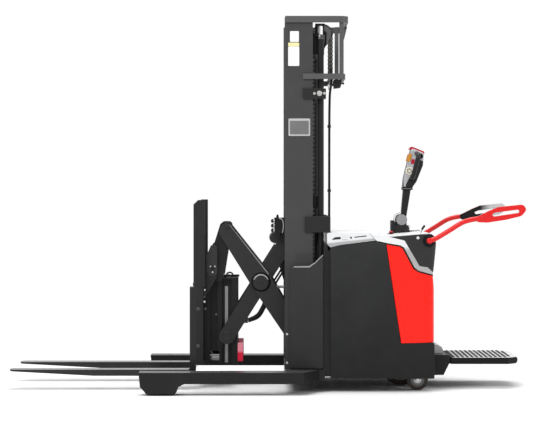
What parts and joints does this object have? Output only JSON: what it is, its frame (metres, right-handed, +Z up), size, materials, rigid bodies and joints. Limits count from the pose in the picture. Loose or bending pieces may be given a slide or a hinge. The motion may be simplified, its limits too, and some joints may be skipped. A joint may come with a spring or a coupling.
{
  "type": "stand-on reach stacker",
  "caption": "Stand-on electric reach stacker: straddle legs, two-stage mast, scissor reach forks, fold-up platform and side guard arms.",
  "frame": {"origin": "centre of the overall length and width, on the ground", "axes": "+Z up, forks point along -X, operator's end is +X, the truck's left is -Y"},
  "size_m": [3.0367, 1.22, 2.205],
  "materials": {
    "paint_black": "satin",
    "paint_grey": "satin",
    "paint_red": "satin",
    "paint_silver": "satin",
    "plastic_dark": "textured",
    "steel": "machined",
    "chrome": "polished",
    "chain": "oiled",
    "wheel_pu": "smooth",
    "rubber": "matte",
    "buffer": "translucent",
    "battery": "matte"
  },
  "bodies": {
    "chassis": {"leg_left": "paint_black", "leg_right": "paint_black", "chassis_frame": "paint_black", "battery": "battery", "side_panel_left": "paint_black", "side_panel_right": "paint_black", "red_panel_left": "paint_red", "red_panel_right": "paint_red", "mast_cover_left": "paint_black", "mast_cover_right": "paint_black", "battery_lid": "paint_silver", "body_trim": "paint_silver", "console": "plastic_dark", "rear_panel": "paint_black", "platform_bracket": "paint_black", "step_buffer": "rubber", "controls": "plastic_dark", "mast_rail_left": "paint_grey", "mast_rail_right": "paint_grey", "mast_crown": "paint_black", "mast_frame": "paint_black", "mast_band": "paint_black", "lift_tubes": "paint_black"},
    "inner_mast": {"inner_rail_left": "paint_black", "inner_rail_right": "paint_black", "inner_ties": "paint_black", "inner_head": "paint_black", "sheaves": "steel", "lift_rods": "chrome", "chain_front": "chain", "chain_rear": "chain"},
    "mast_carriage": {"mast_carriage": "paint_black"},
    "inner_arms": {"inner_arms": "paint_black", "reach_hoses": "rubber"},
    "outer_arms": {"outer_arms": "paint_black"},
    "fork_frame": {"fork_frame": "paint_black", "buffers": "buffer"},
    "fork_carriage": {"fork_carriage": "paint_black", "fork_left": "paint_black", "fork_right": "paint_black", "load_backrest": "paint_black"},
    "reach_barrel": {"reach_barrel": "paint_black"},
    "reach_rod": {"reach_rod": "chrome"},
    "tilt_barrel": {"tilt_barrel": "paint_black"},
    "tilt_rod": {"tilt_rod": "chrome"},
    "drive_unit": {"drive_unit": "paint_black"},
    "drive_wheel": {"drive_wheel": "wheel_pu"},
    "caster_fork_left": {"caster_fork_left": "paint_grey"},
    "caster_fork_right": {"caster_fork_right": "paint_grey"},
    "caster_wheel_left": {"caster_wheel_left": "wheel_pu"},
    "caster_wheel_right": {"caster_wheel_right": "wheel_pu"},
    "load_wheel_front_left": {"load_wheel_front_left": "wheel_pu"},
    "load_wheel_front_right": {"load_wheel_front_right": "wheel_pu"},
    "load_wheel_rear_left": {"load_wheel_rear_left": "wheel_pu"},
    "load_wheel_rear_right": {"load_wheel_rear_right": "wheel_pu"},
    "platform": {"platform": "paint_black"},
    "guard_arm_left": {"guard_arm_left": "paint_red"},
    "guard_arm_right": {"guard_arm_right": "paint_red"},
    "tiller_base": {"tiller_base": "plastic_dark"},
    "tiller_arm": {"tiller_arm": "plastic_dark"}
  },
  "joints": [
    {"name": "mast_lift", "type": "slide", "parent": "chassis", "child": "inner_mast", "axis": [0, 0, 1], "range_m": [0, 1.4], "deforming": ["chain_rear"]},
    {"name": "carriage_lift", "type": "slide", "parent": "inner_mast", "child": "mast_carriage", "axis": [0, 0, 1], "range_m": [0, 1.4], "deforming": ["chain_front"]},
    {"name": "reach", "type": "hinge", "parent": "mast_carriage", "child": "inner_arms", "pos_m": [0.175, 0, 0.962], "axis": [0, 1, 0], "range_deg": [-19, 20.2]},
    {"name": "reach_cross", "type": "hinge", "parent": "inner_arms", "child": "outer_arms", "pos_m": [-0.0298, 0, 0.636], "axis": [0, 1, 0], "range_deg": [-40.4, 38]},
    {"name": "reach_frame", "type": "hinge", "parent": "outer_arms", "child": "fork_frame", "pos_m": [-0.2346, 0, 0.962], "axis": [0, 1, 0], "range_deg": [-19, 20.2]},
    {"name": "reach_cylinder_swing", "type": "hinge", "parent": "mast_carriage", "child": "reach_barrel", "pos_m": [0.235, 0, 0.3], "axis": [0, 1, 0], "range_deg": [-0.77, 0.73]},
    {"name": "reach_cylinder_stroke", "type": "slide", "parent": "reach_barrel", "child": "reach_rod", "axis": [-0.2944, 0, 0.9557], "range_m": [-0.0445, 0.0472]},
    {"name": "tilt", "type": "hinge", "parent": "fork_frame", "child": "fork_carriage", "pos_m": [-0.318, 0, 0.72], "axis": [0, 1, 0], "range_deg": [-2, 4]},
    {"name": "tilt_cylinder_swing", "type": "hinge", "parent": "fork_frame", "child": "tilt_barrel", "pos_m": [-0.215, 0, 0.205], "axis": [0, 1, 0], "range_deg": [-0.7, 1.4]},
    {"name": "tilt_cylinder_stroke", "type": "slide", "parent": "tilt_barrel", "child": "tilt_rod", "axis": [-1, 0, 0], "range_m": [-0.0185, 0.0365]},
    {"name": "steer", "type": "hinge", "parent": "chassis", "child": "drive_unit", "pos_m": [0.816, 0, 0.25], "axis": [0, 0, 1], "range_deg": [-90, 90]},
    {"name": "drive_spin", "type": "hinge", "parent": "drive_unit", "child": "drive_wheel", "pos_m": [0.816, 0, 0.115], "axis": [0, 1, 0], "continuous": true},
    {"name": "tiller_turn", "type": "hinge", "parent": "chassis", "child": "tiller_base", "pos_m": [0.816, 0, 0.95], "axis": [0, 0, 1], "range_deg": [-90, 90]},
    {"name": "tiller_pitch", "type": "hinge", "parent": "tiller_base", "child": "tiller_arm", "pos_m": [0.821, 0, 1.003], "axis": [0, 1, 0], "range_deg": [0, 60], "stiffness_Nm_per_rad": 9, "springref_deg": -57.3},
    {"name": "platform_fold", "type": "hinge", "parent": "chassis", "child": "platform", "pos_m": [1.081, 0, 0.183], "axis": [0, -1, 0], "range_deg": [0, 88]},
    {"name": "guard_arm_fold_left", "type": "hinge", "parent": "chassis", "child": "guard_arm_left", "pos_m": [0.954, -0.452, 0.888], "axis": [0, 1, 0], "range_deg": [0, 80]},
    {"name": "caster_swivel_left", "type": "hinge", "parent": "chassis", "child": "caster_fork_left", "pos_m": [0.86, -0.29, 0.15], "axis": [0, 0, 1], "continuous": true},
    {"name": "caster_spin_left", "type": "hinge", "parent": "caster_fork_left", "child": "caster_wheel_left", "pos_m": [0.895, -0.29, 0.062], "axis": [0, 1, 0], "continuous": true},
    {"name": "load_wheel_spin_front_left", "type": "hinge", "parent": "chassis", "child": "load_wheel_front_left", "pos_m": [-0.666, -0.55, 0.041], "axis": [0, 1, 0], "continuous": true},
    {"name": "load_wheel_spin_rear_left", "type": "hinge", "parent": "chassis", "child": "load_wheel_rear_left", "pos_m": [-0.551, -0.55, 0.041], "axis": [0, 1, 0], "continuous": true},
    {"name": "guard_arm_fold_right", "type": "hinge", "parent": "chassis", "child": "guard_arm_right", "pos_m": [0.954, 0.452, 0.888], "axis": [0, 1, 0], "range_deg": [0, 80]},
    {"name": "caster_swivel_right", "type": "hinge", "parent": "chassis", "child": "caster_fork_right", "pos_m": [0.86, 0.29, 0.15], "axis": [0, 0, 1], "continuous": true},
    {"name": "caster_spin_right", "type": "hinge", "parent": "caster_fork_right", "child": "caster_wheel_right", "pos_m": [0.895, 0.29, 0.062], "axis": [0, 1, 0], "continuous": true},
    {"name": "load_wheel_spin_front_right", "type": "hinge", "parent": "chassis", "child": "load_wheel_front_right", "pos_m": [-0.666, 0.55, 0.041], "axis": [0, 1, 0], "continuous": true},
    {"name": "load_wheel_spin_rear_right", "type": "hinge", "parent": "chassis", "child": "load_wheel_rear_right", "pos_m": [-0.551, 0.55, 0.041], "axis": [0, 1, 0], "continuous": true}
  ],
  "couplings": [
    {"joint": "carriage_lift", "follows": "mast_lift", "ratio": 1},
    {"joint": "reach_cross", "follows": "reach", "ratio": -2},
    {"joint": "reach_frame", "follows": "reach", "ratio": 1},
    {"joint": "reach_cylinder_swing", "follows": "reach", "ratio": -0.0375},
    {"joint": "reach_cylinder_stroke", "follows": "reach", "m_per_rad": 0.1325},
    {"joint": "tilt_cylinder_swing", "follows": "tilt", "ratio": 0.345},
    {"joint": "tilt_cylinder_stroke", "follows": "tilt", "m_per_rad": 0.515},
    {"joint": "tiller_turn", "follows": "steer", "ratio": 1}
  ]
}
